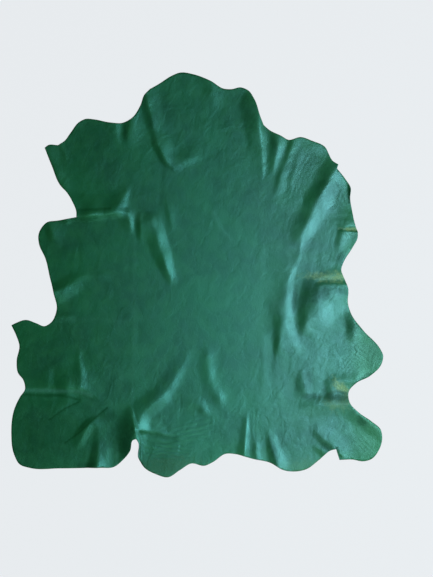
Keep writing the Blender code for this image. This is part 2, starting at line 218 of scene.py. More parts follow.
FOLDS = (
    Fold("neck pleat", (
        (-122, 436), (-112, 395), (-103, 352), (-95, 318), (-87, 292), (-76, 266), (-59, 246), (-42, 228)),
        (4.8, 5, 4.6, 3, 5.8, 5, 2.6, 0), (44, 40), (20, 16), 0.4),
    Fold("neck pleat, fork", ((-58, 234), (-34, 252), (-4, 266), (32, 278)),
        (0, 1.9, 1.6, 0), (50, 40), (26, 20), 0.7),
    Fold("neck swell", ((28, 458), (34, 412), (44, 360)), (3.2, 2.8, 0), (46, 34), (40, 34), 0.8),
    Fold("neck side pleat", ((139, 376), (140, 330), (145, 262), (148, 188)),
        (9, 6.4, 2.8, 0), (26, 9), (54, 32), 0.6),
    Fold("left shoulder gather 1", ((-184, 362), (-182, 322), (-176, 282)),
        (2.9, 2.7, 0), (22, 18), (44, 36), 0.6),
    Fold("left shoulder gather 2", ((-147, 364), (-152, 326), (-160, 284)),
        (4.4, 4, 0), (64, 50), (25, 18), 0.5),
    Fold("left foreleg crease", ((-309, 299), (-300, 277), (-291, 240)),
        (2.3, 2.2, 0), (30, 26), (13, 11), 0.3),
    Fold("left foreleg edge", ((-343, 286), (-322, 243), (-300, 196), (-284, 164)),
        (1.6, 2, 2, 1.6), (38, 30), (14, 11), 0.6),
    Fold("left tuck, step", ((-291, 133), (-245, 135), (-200, 138), (-172, 141), (-148, 136)),
        (10.4, 10.2, 7.4, 3.4, 0), (64, 50), (24, 19), 0.2),
    Fold("left tuck, wing", ((-194, 122), (-181, 150), (-164, 182), (-148, 208)),
        (0, 3.2, 2.8, 0), (46, 26), (38, 12), 0.6),
    Fold("left tuck, knot", ((-158, 152), (-152, 122), (-146, 84)), (0, 3.8, 0), (22, 18), (36, 30), 0.4),
    Fold("left tuck, end", ((-128, 156), (-128, 110), (-126, 66)), (0, 3.6, 0), (40, 34), (17, 14), 0.4),
    Fold("left ridge", ((-106, 144), (-100, 118), (-91, 86), (-80, 50), (-70, 20), (-61, -6), (-54, -32)),
        (0, 5, 5.6, 5.4, 4.4, 2.6, 0), (32, 27), (44, 18), 0.5),
    Fold("left ridge, shoulder side", ((-76, 196), (-66, 150), (-58, 118), (-52, 86)),
        (0, 1.4, 1.4, 0), (40, 34), (16, 14), 0.6),
    Fold("left belly lobe", ((-338, 130), (-326, 98), (-322, 58)), (4, 3.8, 0), (60, 50), (22, 20), 0.6),
    Fold("left belly pleat", ((-338, -46), (-316, -38), (-294, -26), (-262, -4), (-220, -2), (-165, -8)),
        (7.6, 7.6, 5.8, 3, 2, 0), (28, 34), (38, 50), 0.3),
    Fold("left belly pleat, lower", ((-330, -97), (-302, -95), (-262, -93)),
        (2.6, 2.5, 0), (22, 18), (24, 22), 0.6),
    Fold("left flank gather", ((-264, -252), (-262, -222), (-266, -180), (-268, -150)),
        (1.3, 1.7, 1.5, 0), (20, 16), (18, 14), 0.6),
    Fold("left flank gather, foot", ((-294, -268), (-293, -250), (-291, -230)),
        (2.6, 2.4, 0), (34, 30), (34, 26), 0.7),
    Fold("left flank gather, small", ((-333, -244), (-334, -223), (-337, -198)),
        (1.4, 1.3, 0), (24, 20), (18, 16), 0.7),
    Fold("left flank tuck, upper", (
        (-399, -252), (-345, -252), (-300, -250), (-270, -252), (-240, -264), (-204, -292)),
        (3.2, 3.6, 4.6, 5, 2.8, 0), (66, 60), (15, 22), 0.5),
    Fold("left flank tuck, lower", ((-399, -298), (-345, -300), (-290, -305), (-256, -318)),
        (2.6, 2.7, 2.4, 0), (28, 24), (50, 40), 0.8),
    Fold("left hind crease", ((-298, -378), (-262, -352), (-235, -327), (-203, -299)),
        (0, 1.6, 1.6, 0), (12, 10), (34, 30), 0.3),
    Fold("left hind fold", ((-230, -322), (-247, -344), (-261, -370), (-272, -398)),
        (0, 3.2, 3, 0), (20, 17), (24, 20), 0.5),
    Fold("left hind pleat", ((-230, -443), (-222, -405), (-219, -372), (-224, -336), (-228, -316)),
        (8, 6.6, 3, 2, 0), (26, 20), (50, 42), 0.5),
    Fold("slot, left lip", ((-134, -414), (-134, -374), (-142, -334), (-153, -292)),
        (8.8, 8.4, 5, 0), (66, 64), (9, 10), 0.5),
    Fold("slot ridge", (
        (-136, -404), (-138, -366), (-133, -334), (-119, -308), (-94, -286), (-66, -254), (-40, -212),
        (-8, -148)),
        (1.8, 4.4, 6.4, 5, 5, 3.4, 2, 0), (48, 40), (40, 26), 0.6),
    Fold("rump wrinkle", ((-129, -349), (-88, -354), (-43, -365)), (2, 2.2, 0), (20, 18), (12, 11), 0.3),
    Fold("rump ridge", ((20, -140), (22, -190), (27, -232), (39, -262), (52, -284), (58, -306)),
        (0, 1.8, 2, 2, 1.8, 0), (34, 28), (34, 26), 0.8),
    Fold("rump bump", ((-46, -290), (-20, -288), (5, -292), (16, -306), (20, -326)),
        (0, 1.8, 2.1, 2, 0), (30, 26), (24, 22), 0.8),
    Fold("rump pleat 1", ((107, -430), (107, -385), (110, -345), (114, -300)),
        (4.6, 4, 2.6, 0), (30, 20), (16, 8), 0.35),
    Fold("rump pleat 2", ((134, -434), (133, -398), (130, -350)), (2.4, 2.2, 0), (20, 16), (24, 20), 0.4),
    Fold("rump pleat 3", ((182, -448), (172, -402), (163, -370), (154, -336)),
        (4.4, 4, 2.6, 0), (24, 13), (42, 28), 0.5),
    Fold("right shoulder pleat 1", ((190, 336), (184, 305), (175, 258), (162, 204)),
        (4.6, 4.4, 2.4, 0), (30, 18), (40, 14), 0.7),
    Fold("right shoulder pleat 2", ((222, 324), (215, 296), (198, 248), (182, 200), (166, 152)),
        (3.2, 3, 2.6, 2, 0), (56, 36), (20, 15), 0.4),
    Fold("right shoulder pleat 3", ((250, 300), (230, 262), (217, 226), (210, 186), (206, 150)),
        (0, 1, 1, 0.9, 0), (26, 22), (16, 12), 0.7),
    Fold("long fold", ((330, 264), (309, 233), (289, 200), (262, 151), (248, 122), (236, 90), (229, 58)),
        (6.6, 7, 6.8, 5.6, 4.2, 2.4, 0), (54, 48), (48, 30), 0.4),
    Fold("long fold, lower", ((252, 132), (240, 98), (229, 52), (221, 24), (208, 0), (199, -34)),
        (0, 1.7, 1.7, 1.8, 1.9, 0), (22, 17), (100, 100), 0.3),
    Fold("right rim curl", ((352, 224), (350, 186), (351, 150)), (6.6, 6.6, 0), (12, 11), (15, 13), 0.4),
    Fold("right rim fold", ((352, 136), (334, 137), (314, 139)), (1.6, 1.6, 0), (28, 24), (20, 17), 0.8),
    Fold("right rim tuck, upper", ((368, 112), (340, 112), (300, 113)),
        (3, 2.8, 0), (11, 10), (46, 14), 1.0),
    Fold("right rim tuck, lower", ((370, 94), (340, 96), (312, 98)), (2.4, 2.4, 0), (24, 20), (8, 7), 0.2),
    Fold("right belly pleat", ((328, 104), (322, 76), (317, 44)), (2.4, 2.4, 0), (30, 26), (20, 17), 0.6),
    Fold("pocket, ridge", (
        (207, 4), (202, -28), (198, -62), (197, -100), (205, -135), (219, -165), (242, -198)),
        (0, 2.4, 3.2, 3.6, 3.2, 2.2, 0), (27, 37), (66, 50), 0.8),
    Fold("pocket, west side", ((187, -66), (187, -118), (184, -156), (178, -206)),
        (0, 2.2, 2.2, 0), (34, 30), (20, 17), 0.6),
    Fold("pocket, slope", ((340, -22), (300, -36), (276, -54), (262, -80), (249, -120)),
        (1.8, 2.6, 2.6, 2.2, 0), (90, 80), (58, 26), 0.9),
    Fold("pocket, wall", ((292, -14), (275, -36), (261, -62), (250, -88), (242, -118), (236, -148)),
        (0, 4.4, 5.4, 4.8, 3.6, 0), (84, 70), (74, 11), 0.7),
    Fold("pocket, lower lip", ((348, -24), (318, -23), (290, -23), (262, -28)),
        (1.9, 1.9, 1.7, 0), (50, 44), (13, 12), 0.4),
    Fold("pocket, upper lip", ((346, 2), (310, -1), (282, -5), (254, -14)),
        (1.9, 1.9, 1.6, 0), (12, 10), (42, 34), 0.4),
    Fold("right flank curl", ((352, -100), (352, -126), (345, -160)), (3, 3.4, 0), (36, 30), (30, 26), 0.6),
    Fold("right notch, ridge", ((356, -238), (332, -238), (306, -238), (280, -242)),
        (3, 3.2, 2.6, 0), (26, 24), (36, 30), 0.5),
    Fold("right notch, lower", ((356, -292), (332, -292), (300, -292), (262, -294), (222, -296)),
        (5, 4.8, 3.6, 3, 0), (48, 40), (28, 30), 0.6),
    Fold("right notch, fork", ((248, -284), (240, -246), (231, -208)),
        (0, 3.2, 0), (34, 28), (28, 24), 0.6),
    Fold("right notch, fold", ((306, -300), (304, -268), (298, -234)),
        (0, 2.8, 0), (26, 22), (64, 50), 0.6),
    Fold("right hind pleat 1", ((313, -394), (302, -382), (280, -364), (252, -336)),
        (5.6, 5.4, 3.4, 0), (25, 20), (44, 36), 0.45),
    Fold("right hind pleat 2", ((308, -412), (284, -396), (250, -382)),
        (4.4, 4.2, 0), (19, 16), (20, 18), 0.4),
    Fold("right hind edge", ((346, -300), (366, -318), (398, -340), (424, -366)),
        (0, 3.4, 3.2, 2), (18, 18), (34, 28), 0.7),
)


class Crease(NamedTuple):
    """A fine line in the grain side only: a groove where depth is above 0, a ridge below it."""

    name: str
    path: tuple
    depth: float
    width: float


CREASES = (
    Crease("shipping fold", ((-142, 92), (-141, 20), (-142, -60), (-144, -180), (-147, -290)), -0.10, 8),
    Crease("left belly line", ((-315, -103), (-240, -100), (-160, -104), (-90, -92)), -0.07, 9),
    Crease("left foreleg line", ((-224, 310), (-222, 250), (-225, 190)), 0.10, 9),
    Crease("shoulder line", ((-76, 250), (-80, 200), (-84, 160)), 0.16, 10),
    Crease("hind leg line", ((-181, -380), (-181, -425)), -0.25, 7),
    Crease("neck line 1", ((-80, 378), (-48, 381), (-22, 386)), 0.10, 7),
    Crease("neck line 2", ((-72, 368), (-44, 370), (-18, 377)), 0.08, 7),
    Crease("middle line 1", ((-6, -84), (12, -98), (22, -112)), 0.08, 7),
    Crease("middle line 2", ((34, -84), (24, -100), (18, -112)), 0.08, 7),
    Crease("middle line 3", ((36, 140), (52, 106), (74, 80)), -0.2, 9),
    Crease("middle line 4", ((146, 56), (144, 20), (143, -6)), -0.12, 10),
    Crease("middle line 5", ((203, 90), (206, 40), (204, 10)), -0.12, 10),
    Crease("left flank tuck", ((-391, -269), (-345, -271), (-300, -272), (-266, -281)), 0.30, 7),
    Crease("left hind crease", ((-298, -378), (-262, -351), (-235, -326), (-203, -299)), 0.34, 4.5),
    Crease("left hind crease, small", ((-333, -326), (-300, -302), (-266, -285)), 0.32, 4.5),
    Crease("left flank tuck, lip", (
        (-391, -259), (-345, -260), (-300, -261), (-262, -263), (-240, -271)),
        -0.45, 8),
    Crease("left tuck", ((-268, 146), (-230, 147), (-196, 149)), 0.30, 6),
    Crease("rump line 1", ((-122, -352), (-86, -363), (-50, -368)), 0.20, 10),
    Crease("rump line 2", ((-118, -376), (-80, -380), (-48, -374)), 0.16, 6),
    Crease("flank line 1", ((150, -290), (150, -214), (150, -140)), -0.20, 12),
    Crease("flank line 2", ((176, -280), (172, -200), (176, -130)), 0.18, 12),
    Crease("foreleg mark 1", ((312, 208), (320, 192), (314, 178)), 0.18, 5),
    Crease("foreleg mark 2", ((326, 204), (322, 186), (330, 168)), 0.16, 5),
    Crease("foreleg mark 3", ((304, 190), (312, 172), (322, 160)), 0.12, 6),
    Crease("right rim tuck, lip", ((360, 116), (336, 117), (310, 119)), -0.40, 10),
    Crease("right hind nick", ((313, -388), (317, -401), (322, -414)), 0.50, 5),
)


class Wrinkles(NamedTuple):
    """A patch of fine parallel wrinkles: its middle, and its half size along and across its lines."""

    name: str
    middle: tuple
    half_size: tuple
    turn: float  # in degrees, from +X to the lines
    spacing: float
    depth: float


WRINKLES = (
    Wrinkles("neck", (-50, 376), (40, 16), 8, 8.0, 0.05),
    Wrinkles("left tuck", (-252, 108), (18, 26), 62, 7.0, 0.10),
    Wrinkles("left belly", (-292, -46), (34, 24), 6, 7.0, 0.10),
    Wrinkles("left flank", (-276, -240), (16, 46), 84, 9.0, 0.16),
    Wrinkles("left rump", (-66, -396), (100, 54), -7, 9.0, 0.26),
    Wrinkles("rump, upper", (-10, -350), (96, 50), 14, 11.0, 0.22),
    Wrinkles("right knee", (336, -206), (34, 30), 50, 7.5, 0.16),
    Wrinkles("right thigh", (366, -176), (46, 40), -40, 8.5, 0.12),
    Wrinkles("right shoulder", (246, 258), (64, 40), 60, 9.5, 0.10),
    Wrinkles("right shoulder, inner", (218, 196), (60, 30), 70, 8.5, 0.08),
    Wrinkles("right foreleg", (322, 184), (30, 18), 70, 7.5, 0.14),
    Wrinkles("right notch", (330, -250), (34, 20), -38, 7.0, 0.18),
    Wrinkles("right belly", (330, -2), (30, 10), 88, 7.5, 0.14),
    Wrinkles("right hind leg", (372, -380), (40, 34), -50, 8.0, 0.12),
    Wrinkles("rump middle", (250, -400), (40, 26), 40, 8.0, 0.12),
)


class Patch(NamedTuple):
    """An oval place on the grain: its middle, half size, turn in degrees and how strong it is."""

    name: str
    middle: tuple
    half_size: tuple
    turn: float
    strength: float


# Worn, yellowed finish
STAINS = (
    Patch("right belly lip", (290, -5), (60, 14), -4, 0.5),
    Patch("right belly rim", (322, -4), (30, 15), 0, 0.8),
    Patch("right notch", (322, -252), (30, 14), -42, 0.95),
    Patch("right notch, below", (316, -282), (40, 26), 15, 0.35),
    Patch("right rim tuck", (346, 103), (26, 5), -3, 0.7),
    Patch("rump rim", (-66, -432), (90, 30), 3, 0.16),
    Patch("right rump rim", (236, -430), (60, 22), 6, 0.12),
)

# Painted shade: patches painted darker and less shiny, over hollows, folds and parts of the rim
PAINTED_SHADES = (
    Patch("pocket", (241, -48), (23, 42), -16, 0.45),
    Patch("right notch", (309, -274), (42, 17), -6, 0.9),
    Patch("right notch, arm", (258, -273), (36, 13), -4, 0.75),
    Patch("right notch, under the lip", (323, -265), (24, 8), -10, 0.8),
    Patch("right notch, fork ridge", (249, -242), (15, 34), 0, 0.7),
    Patch("left hind pleat, top", (-192, -318), (24, 22), 0, 0.6),
    Patch("left hind pleat", (-212, -385), (14, 36), 0, 0.5),
    Patch("left hind leg, foot", (-250, -430), (30, 18), 0, 0.6),
    Patch("slot rim", (-130, -396), (10, 24), 0, 0.6),
    Patch("right belly rim", (356, 88), (18, 16), 0, 0.5),
    Patch("right flank point", (366, -118), (18, 20), 20, 0.5),
    Patch("neck pleat", (-97, 346), (14, 28), -12, 0.55),
    Patch("right belly pleat", (322, 36), (16, 24), 0, 0.6),
    Patch("long fold", (274, 160), (16, 28), -30, 0.5),
    Patch("right hind lobe", (330, -380), (32, 28), 0, 0.5),
    Patch("rump pleat", (186, -372), (18, 36), 12, 0.45),
    Patch("rump pleat, dark side", (172, -396), (12, 42), 12, 0.8),
    Patch("neck side", (112, 365), (26, 40), 0, 0.5),
    Patch("left shoulder gather", (-163, 320), (8, 26), 6, 0.5),
    Patch("right shoulder pleats", (172, 298), (10, 30), 12, 0.5),
    Patch("right notch, inner", (288, -266), (15, 22), 20, 0.55),
    Patch("right notch, fork", (226, -252), (13, 28), 0, 0.4),
    Patch("right flank rim", (346, -114), (20, 32), 20, 0.75),
    Patch("right hind leg rim", (369, -328), (20, 13), -35, 0.7),
    Patch("right foreleg rim", (342, 182), (7, 28), 0, 0.95),
    Patch("right knee rim", (374, -232), (42, 8), 33, 0.6),
    Patch("right thigh tip", (400, -180), (34, 54), 0, 0.4),
    Patch("right thigh rim", (381, -129), (46, 7), -50, 0.55),
    Patch("right foreleg", (308, 186), (26, 46), -28, 0.4),
    Patch("pocket, mouth", (276, -44), (38, 22), 20, 0.85),
    Patch("right belly, under the lip", (320, -36), (26, 15), 0, 0.65),
    Patch("pocket, ridge", (219, -54), (11, 44), -6, 0.8),
    Patch("rump rim", (-84, -428), (84, 40), 4, 0.5),
    Patch("right hind pleats", (290, -388), (26, 12), -38, 0.6),
    Patch("left hind leg", (-300, -345), (130, 84), 0, 0.35),
    Patch("left hind leg, inner", (-178, -350), (40, 62), -12, 0.5),
    Patch("slot", (-158, -384), (26, 50), -10, 0.85),
)

# Painted highlight: patches painted paler and made shinier
PAINTED_HIGHLIGHTS = (
    Patch("pocket, foot", (254, -113), (18, 26), -20, 0.5),
    Patch("right rim tuck", (334, 117), (26, 9), 0, 0.9),
    Patch("right shoulder rim", (276, 286), (36, 24), -30, 0.9),
    Patch("left foreleg", (-325, 280), (40, 34), 0, 0.7),
    Patch("left shoulder rim", (-272, 338), (28, 18), 40, 0.6),
    Patch("left foreleg edge", (-312, 216), (12, 34), -28, 0.6),
    Patch("left hind rim", (-404, -416), (20, 20), 0, 0.6),
    Patch("right knee", (345, -250), (18, 12), 0, 0.5),
    Patch("rump pleats", (152, -414), (8, 24), 8, 0.5),
    Patch("left tuck, knot", (-140, 134), (32, 18), -8, 0.8),
    Patch("left ridge, head", (-95, 118), (12, 20), 12, 0.6),
    Patch("slot ridge", (-90, -340), (26, 20), 40, 0.6),
    Patch("neck pleat, foot", (-88, 304), (22, 18), 0, 0.5),
    Patch("right flank", (182, -257), (26, 42), 0, 0.4),
    Patch("right notch, below", (247, -306), (36, 16), 0, 0.4),
    Patch("pocket, west side", (173, -56), (12, 32), 0, 0.5),
    Patch("right hind nick", (324, -408), (22, 16), 0, 0.9),
)

# The patches' rims, as shares of their half sizes
PATCH_END = 1.15
PATCH_FULL = 0.15
STAIN_RAGGED = 0.45  # how far the rim is broken up
# raggedness of the painted shade and painted highlight patches
PAINTED_LIGHT_RAGGED = 0.22
RAGGED_SIZE = 9.0  # of the breaks, in mm
PATCH_DEPTH = 1000.0  # half size upwards in mm, far more than the sheet's height


def eased(share):
    """A share from 0 to 1, eased at both ends."""
    return share * share * (3 - 2 * share)


def swell(reach):
    """1 where reach is 0, falling smoothly to 0 where it is 1."""
    return 0.5 + 0.5 * np.cos(math.pi * reach)


def smooth_rows(rows, step):
    """Rows about a step apart on a smooth open curve through the given rows; x and y come first."""
    rows = np.array(rows, dtype=float)
    chords = np.hypot(*np.diff(rows[:, :2], axis=0).T)
    slopes = np.diff(rows, axis=0) / chords[:, None]
    before = np.vstack([slopes[:1], slopes])
    after = np.vstack([slopes, slopes[-1:]])
    reach_before = np.append(chords[:1], chords)[:, None]
    reach_after = np.append(chords, chords[-1:])[:, None]
    tangents = (before * reach_after + after * reach_before) / (reach_before + reach_after)
    pieces = []
    for start, end, leave, arrive, chord in zip(rows, rows[1:], tangents, tangents[1:], chords):
        count = max(1, round(chord / step))
        t = (np.arange(count) / count)[:, None]
        bow = chord * t * (1 - t) * ((1 - t) * leave - t * arrive)
        pieces.append(start + (end - start) * eased(t) + bow)
    return np.vstack([*pieces, rows[-1:]])


def rim_points():
    """The rim as one closed loop of points in mm, with the footprint's middle at the origin."""
    corner = RIM[-1].anchors[-1]
    stretches = []
    for stretch in RIM:
        stretches.append(smooth_rows((corner, *stretch.anchors), RIM_STEP)[:-1])
        corner = stretch.anchors[-1]
    rim = np.vstack(stretches)
    return rim - (rim.max(axis=0) + rim.min(axis=0)) / 2


def cloud(x, y, size, seed):
    """Smooth unevenness between about -1 and 1, with swells about size mm apart."""
    turns = np.random.default_rng(seed).uniform(0.0, 2 * math.pi, (CLOUD_CELLS, CLOUD_CELLS))
    u = x / size + CLOUD_CELLS / 2
    v = y / size + CLOUD_CELLS / 2
    column = np.floor(u).astype(int)
    row = np.floor(v).astype(int)
    across = u - column
    up = v - row
    ease_across = across**3 * (across * (across * 6 - 15) + 10)
    ease_up = up**3 * (up * (up * 6 - 15) + 10)
    total = np.zeros(x.shape)
    for i in (0, 1):
        for j in (0, 1):
            turn = turns[(column + i) % CLOUD_CELLS, (row + j) % CLOUD_CELLS]
            push = np.cos(turn) * (across - i) + np.sin(turn) * (up - j)
            weight = (ease_across if i else 1 - ease_across) * (ease_up if j else 1 - ease_up)
            total += push * weight
    return total * CLOUD_GAIN


def cross_section(offset, left, right, crest):
    """A fold's height across it: 1 on its crest, 0 at its foot. Offsets to its left are above 0."""
    reach = np.minimum(np.abs(offset) / np.where(offset > 0, left, right), 1.0)
    rounded = (np.hypot(reach, PINCH) - PINCH) / (math.hypot(1.0, PINCH) - PINCH)
    pinched = (1.0 - rounded) ** 2
    return pinched + (swell(reach) - pinched) * crest


def crest_rows(fold):
    """Rows along a fold's crest in mm: x, y, rise, and how far its foot is on its left and right."""
    share = np.linspace(0.0, 1.0, len(fold.path))
    left = fold.left[0] + (fold.left[1] - fold.left[0]) * share
    right = fold.right[0] + (fold.right[1] - fold.right[0]) * share
    return smooth_rows(np.column_stack([fold.path, fold.rise, left, right]), CREST_STEP)


def fold_height(fold, x, y):
    """Height in mm that one fold adds at each place."""
    rows = crest_rows(fold)
    nearest = np.full(x.shape, np.inf)
    height = np.zeros(x.shape)
    for start, end in zip(rows, rows[1:]):
        run_x, run_y = end[:2] - start[:2]
        along = ((x - start[0]) * run_x + (y - start[1]) * run_y) / (run_x**2 + run_y**2)
        along = np.clip(along, 0.0, 1.0)
        away_x = x - start[0] - along * run_x
        away_y = y - start[1] - along * run_y
        distance = np.hypot(away_x, away_y)
        side = np.where(run_x * away_y > run_y * away_x, 1.0, -1.0)
        rise, to_left, to_right = (start[i] + (end[i] - start[i]) * along for i in (2, 3, 4))
        here = np.maximum(rise, 0.0) * cross_section(side * distance, to_left, to_right, fold.crest)
        height = np.where(distance < nearest, here, height)
        nearest = np.minimum(distance, nearest)
    return height


def near_path(path, reach, x, y):
    """Which places lie in the box around a path, widened by reach."""
    low = np.min(path, axis=0) - reach
    high = np.max(path, axis=0) + reach
    return (x > low[0]) & (x < high[0]) & (y > low[1]) & (y < high[1])


def liveliness(x, y):
    """0 in the calm middle of the sheet, rising to 1 towards the rim."""
    reach = np.hypot(x / CALM_HALF_SIZE[0], y / CALM_HALF_SIZE[1])
    return np.clip((reach - LIVELY_FROM) / LIVELY_OVER, 0.0, 1.0)


def waves(x, y):
    """Height in mm of the sheet's gentle waves, low in the calm middle and higher towards the rim."""
    outside = eased(liveliness(x, y))
    height = np.zeros(x.shape)
    for seed, wave in enumerate(WAVES, start=SEED_WAVES):
        strength = wave.calm + (wave.lively - wave.calm) * outside
        height += strength * (1.0 + cloud(x, y, wave.size, seed))
    return height


def relief(x, y):
    """Height in mm of the flesh side over the surface; the low feet of the folds lie flat on it."""
    shift_x = FOLD_DRIFT * cloud(x, y, DRIFT_SIZE, SEED_DRIFT_X)
    shift_y = FOLD_DRIFT * cloud(x, y, DRIFT_SIZE, SEED_DRIFT_Y)
    raised = np.zeros(x.shape)
    for fold in FOLDS:
        near = near_path(fold.path, max(fold.left + fold.right), x, y)
        raised[near] += fold_height(fold, x[near] + shift_x[near], y[near] + shift_y[near])
    raised *= 1.0 + UNEVENNESS * cloud(x, y, UNEVEN_SIZE, SEED_UNEVEN)
    low = raised**2 / (4 * SETTLE)
    return np.where(raised < 2 * SETTLE, low, raised - SETTLE) + waves(x, y)


def distance_to(path, x, y):
    """Distance in mm from each place to a smooth line through the path."""
    rows = smooth_rows(path, CREST_STEP)
    nearest = np.full(x.shape, np.inf)
    for start, end in zip(rows, rows[1:]):
        run = end - start
        along = np.clip(((x - start[0]) * run[0] + (y - start[1]) * run[1]) / (run @ run), 0.0, 1.0)
        away = np.hypot(x - start[0] - along * run[0], y - start[1] - along * run[1])
        nearest = np.minimum(nearest, away)
    return nearest


def crease_depths(x, y):
    """For each crease, which places it may reach, and how deep it is there in mm."""
    for crease in CREASES:
        near = near_path(crease.path, crease.width, x, y)
        reach = np.minimum(distance_to(crease.path, x[near], y[near]) / crease.width, 1.0)
        yield near, crease.depth * swell(reach)


def groove_shade_and_ridge_highlight(x, y):
    """How deep each place lies in a groove, and how high on a ridge; both from 0 to 1, for painted shade
    and painted highlight.
    """
    deep = np.zeros(x.shape)
    high = np.zeros(x.shape)
    for near, depth in crease_depths(x, y):
        deep[near] = np.maximum(deep[near], depth / GROOVE_DEPTH)
        high[near] = np.maximum(high[near], -depth / GROOVE_DEPTH)
    return np.minimum(deep, 1.0), np.minimum(high, 1.0)


def wrinkles(x, y):
    """Height in mm of the patches of fine parallel wrinkles."""
    height = np.zeros(x.shape)
    sway = WRINKLE_SWAY * cloud(x, y, SWAY_SIZE, SEED_SWAY)
    for patch in WRINKLES:
        turn = math.radians(patch.turn)
        from_x = x - patch.middle[0]
        from_y = y - patch.middle[1]
        along = from_x * math.cos(turn) + from_y * math.sin(turn)
        across = from_y * math.cos(turn) - from_x * math.sin(turn)
        reach = np.hypot(along / patch.half_size[0], across / patch.half_size[1])
        fade = eased(np.clip(1.0 - reach, 0.0, 1.0))
        height += patch.depth * fade * np.sin(2 * math.pi * (across + sway) / patch.spacing)
    return height


def grain_detail(x, y):
    """Height in mm of the fine creases and wrinkles that only the grain side has."""
    height = np.zeros(x.shape)
    for near, depth in crease_depths(x, y):
        height[near] -= depth
    return height + wrinkles(x, y)


def surface(x, y):
    """Height in mm of the folded grain side, apart from the sheet's thickness."""
    return relief(x, y) + grain_detail(x, y)


def ring_mean(height, x, y, radius):
    """Mean height of the six places around each place."""
    total = np.zeros(x.shape)
    for turn in np.arange(6) * math.pi / 3:
        total += height(x + radius * math.cos(turn), y + radius * math.sin(turn)) / 6
    return total


def distances(places, others):
    """Distance from each place to the nearest of the others."""
    tree = KDTree(len(others))
    for i, other in enumerate(others):
        tree.insert((other[0], other[1], 0.0), i)
    tree.balance()
    return np.array([tree.find((place[0], place[1], 0.0))[2] for place in places])


def crest_places(rim):
    """Places on the folds' crests in mm, one fold after another, clear of the rim and of each other."""
    kept = rim
    for fold in FOLDS:
        crest = crest_rows(fold)[:, :2]
        kept = np.vstack([kept, crest[distances(crest, kept) > CLEARANCE]])
    return kept[len(rim):]


def lattice_places(half_width, half_length):
    """A triangular lattice in mm, fine where the sheet bends and twice as wide elsewhere."""
    row_step = FINE_STEP * math.sqrt(3) / 2
    columns = math.ceil(half_width / FINE_STEP) + 1
    rows = math.ceil(half_length / row_step)
    column, row = np.meshgrid(np.arange(-columns, columns), np.arange(-rows, rows + 1))
    x = (column + (row % 2) / 2) * FINE_STEP
    y = row * row_step
    bends = np.abs(ring_mean(surface, x, y, FINE_STEP) - surface(x, y)) > BEND_LIMIT
    wide = (row % 2 == 0) & (column % 2 == (row // 2) % 2)
    kept = bends | wide
    return np.column_stack([x[kept], y[kept]])


def sheet_net():
    """Flat places in mm and the triangles between them; the rim's places come first, in order."""
    rim = rim_points()
    places = np.vstack([rim, crest_places(rim)])
    lattice = lattice_places(*rim.max(axis=0))
    places = np.vstack([places, lattice[distances(lattice, places) > CLEARANCE]])
    around = [(i, (i + 1) % len(rim)) for i in range(len(rim))]
    corners, _, triangles, *_ = delaunay_2d_cdt(
        [Vector(place) for place in places], around, [], INSIDE_ONLY, MERGE_MM)
    corners = np.array(corners)
    triangles = np.array(triangles)
    used = np.unique(triangles)
    renumber = np.full(len(corners), -1)
    renumber[used] = np.arange(len(used))
    return corners[used], renumber[triangles], len(rim)


def facing_up(flat, triangles):
    """The triangles with every one counter-clockwise seen from above."""
    a, b, c = (flat[triangles[:, i]] for i in range(3))
    turn = (b[:, 0] - a[:, 0]) * (c[:, 1] - a[:, 1]) - (b[:, 1] - a[:, 1]) * (c[:, 0] - a[:, 0])
    return np.where(turn[:, None] < 0, triangles[:, ::-1], triangles)


def corner_normals(points, triangles):
    """Unit normals at the points, averaged over the triangles around each by their area."""
    a, b, c = (points[triangles[:, i]] for i in range(3))
    faces = np.cross(b - a, c - a)
    normals = np.zeros(points.shape)
    for i in range(3):
        np.add.at(normals, triangles[:, i], faces)
    return normals / np.linalg.norm(normals, axis=1)[:, None]


def inward(rim):
    """Unit steps from each point of the clockwise rim towards the sheet."""
    along = np.roll(rim, -1, axis=0) - np.roll(rim, 1, axis=0)
    return np.column_stack([along[:, 1], -along[:, 0]]) / np.hypot(*along.T)[:, None]


def sheet_faces(triangles, count, rim_count):
    """Faces over count grain points, count flesh points and the cut's own line, and their materials."""
    start = np.arange(rim_count)
    end = (start + 1) % rim_count
    worn = np.column_stack([end, 2 * count + end, 2 * count + start, start])
    straight = np.column_stack([2 * count + end, count + end, count + start, 2 * count + start])
    flesh = triangles[:, ::-1] + count
    faces = [*triangles.tolist(), *flesh.tolist(), *worn.tolist(), *straight.tolist()]
    slots = np.repeat([0, 1, 2], [len(triangles), len(triangles), 2 * rim_count])
    return faces, slots


def sheet_marks(flat, heights, rim):
    """For each place, the marks from 0 to 1 that the grain's material reads, several of them painted shade
    and highlight.
    """
    x, y = flat.T
    rise = (heights - ring_mean(relief, x, y, CREST_RING)) / CREST_RISE
    groove, lip = groove_shade_and_ridge_highlight(x, y)
    return {
        "rim": np.clip(1.0 - distances(flat, rim) / RIM_WEAR, 0.0, 1.0) ** RIM_FADE,
        # painted highlight on crests, painted shade in valleys
        "crest": np.clip(rise, 0.0, 1.0),
        "valley_shade": np.clip(-rise, 0.0, 1.0),
        # painted shade in grooves, painted highlight on ridge lines
        "groove": groove,
        "lip": lip,
        # painted shading of the wrinkles
        "wrinkle_shading": np.clip(0.5 + wrinkles(x, y) / WRINKLE_RELIEF, 0.0, 1.0),
        "lively": liveliness(x, y),
    }


